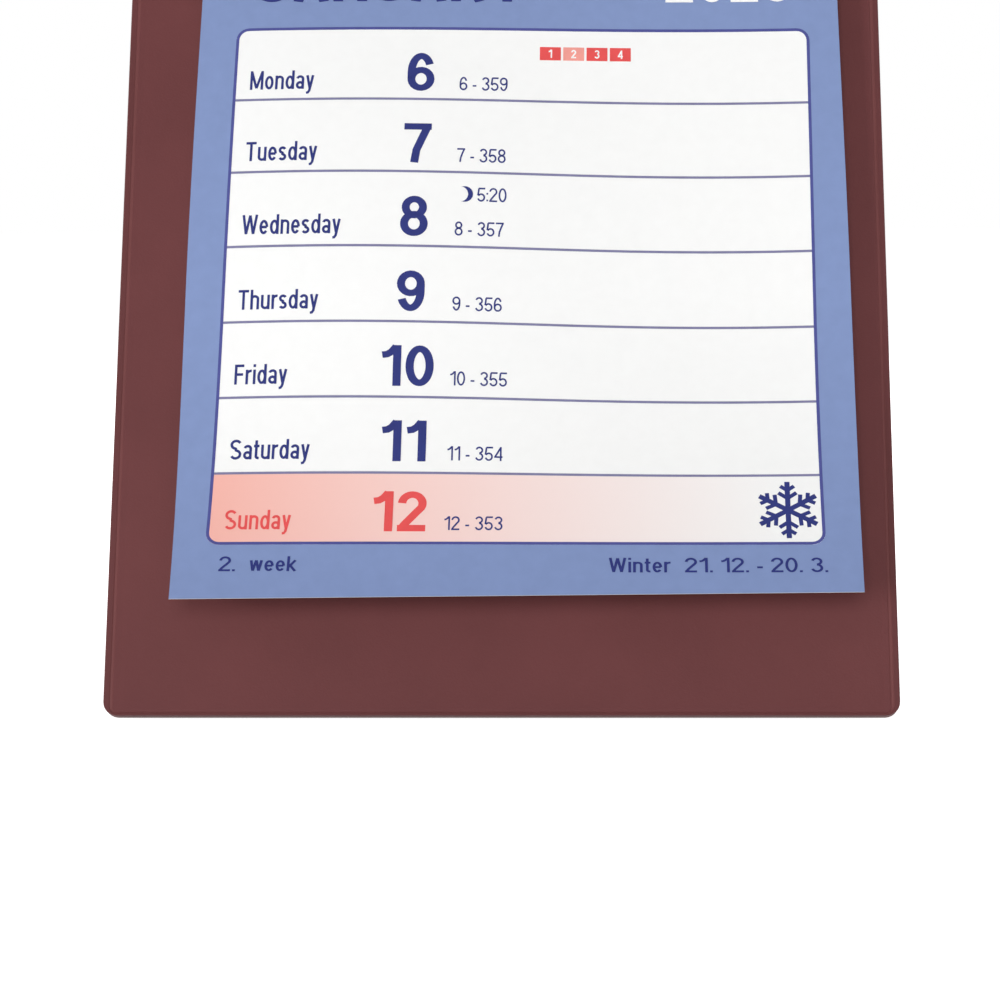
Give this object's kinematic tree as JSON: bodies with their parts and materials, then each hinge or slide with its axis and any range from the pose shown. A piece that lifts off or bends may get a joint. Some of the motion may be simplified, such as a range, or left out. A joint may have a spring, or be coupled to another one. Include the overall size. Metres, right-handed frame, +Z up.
{
  "type": "tent desk calendar",
  "caption": "Desk calendar with a folding tent stand of welded plastic panels that carries a tear-off block of weekly leaves; it stands on a desk and folds flat.",
  "frame": {"origin": "on the desk under the ridge, midway across the stand", "axes": "+Z up, -Y to the front, +X to the viewer's right, along the ridge"},
  "size_m": [0.13, 0.1186, 0.1436],
  "materials": {
    "pvc": "brown plasticised sheet with a fine grain and a soft sheen",
    "greyboard": "raw grey pulp board",
    "card": "uncoated card",
    "tape": "white double-sided foam tape",
    "tin": "bright tin plate",
    "paper": "white offset paper",
    "printed_paper": "offset paper printed blue, with a white table of days"
  },
  "bodies": {
    "front_panel": {"front_outer_skin": "pvc", "front_board": "greyboard", "front_inner_skin": "pvc", "ridge_web": "pvc", "tape_strips": "tape", "backing_card": "card", "header_rail": "tin", "leaves_january": "paper", "leaves_february": "paper", "leaves_march": "paper", "leaves_april": "paper", "leaves_may": "paper", "leaves_june": "paper", "leaves_july": "paper", "leaves_august": "paper", "leaves_september": "paper", "leaves_october": "paper", "leaves_november": "paper", "leaves_december": "paper", "front_leaf_stub": "printed_paper"},
    "rear_panel": {"rear_outer_skin": "pvc", "rear_board": "greyboard", "rear_inner_skin": "pvc", "base_hinge_web": "pvc"},
    "base": {"base_outer_skin": "pvc", "base_board": "greyboard", "base_inner_skin": "pvc"},
    "front_leaf": {"front_leaf": "printed_paper"}
  },
  "joints": [
    {"name": "ridge_fold", "type": "hinge", "parent": "front_panel", "child": "rear_panel", "pos_m": [0, 0, 0.14092], "axis": [-1, 0, 0], "range_deg": [0, 38]},
    {"name": "base_fold", "type": "hinge", "parent": "rear_panel", "child": "base", "pos_m": [0, 0.05345, 0.0005], "axis": [1, 0, 0], "range_deg": [0, 110.3]},
    {"name": "leaf_lift", "type": "hinge", "parent": "front_panel", "child": "front_leaf", "pos_m": [0, -0.01357, 0.13096], "axis": [-1, 0, 0], "range_deg": [0, 175]}
  ],
  "couplings": [
    {"joint": "base_fold", "follows": "ridge_fold", "ratio": 2.9}
  ]
}
